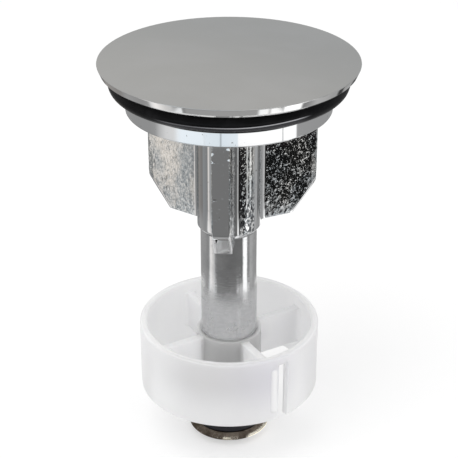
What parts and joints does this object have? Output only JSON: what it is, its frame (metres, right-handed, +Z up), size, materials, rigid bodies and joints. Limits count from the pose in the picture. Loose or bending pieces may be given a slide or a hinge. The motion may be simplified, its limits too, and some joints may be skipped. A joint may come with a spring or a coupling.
{
  "type": "basin waste plug",
  "caption": "Lift-out plug of a pop-up basin waste: chrome cap with a seal, winged casting, stem, turning guide ring and height-adjusting screw.",
  "frame": {"origin": "on the plug's axis, at the foot of the adjusting screw, screwed fully in", "axes": "+Z up the plug's axis towards the cap; one of the three guide wings points along -Y"},
  "size_m": [0.04, 0.04, 0.0669],
  "materials": {
    "polished_chrome": "polished",
    "cast_chrome": "plated over a cast surface",
    "turned_chrome": "plated over a turned surface",
    "black_rubber": "smooth",
    "white_nylon": "translucent, satin",
    "bronze": "darkened"
  },
  "bodies": {
    "plug": {"plug_cap": "polished_chrome", "seal_ring": "black_rubber", "winged_body": "cast_chrome", "stem": "turned_chrome"},
    "guide": {"guide_ring": "white_nylon"},
    "washer": {"buffer_washer": "black_rubber"},
    "screw": {"adjusting_screw": "bronze"}
  },
  "joints": [
    {"name": "guide_swivel", "type": "hinge", "parent": "plug", "child": "guide", "pos_m": [0, 0, 0.01445], "axis": [0, 0, 1], "continuous": true},
    {"name": "screw_travel", "type": "slide", "parent": "plug", "child": "washer", "axis": [0, 0, -1], "range_m": [0, 0.008]},
    {"name": "screw_turn", "type": "hinge", "parent": "washer", "child": "screw", "pos_m": [0, 0, 0], "axis": [0, 0, -1], "range_deg": [0, 2880]}
  ],
  "couplings": [
    {"joint": "screw_turn", "follows": "screw_travel", "rad_per_m": 6283.2}
  ]
}
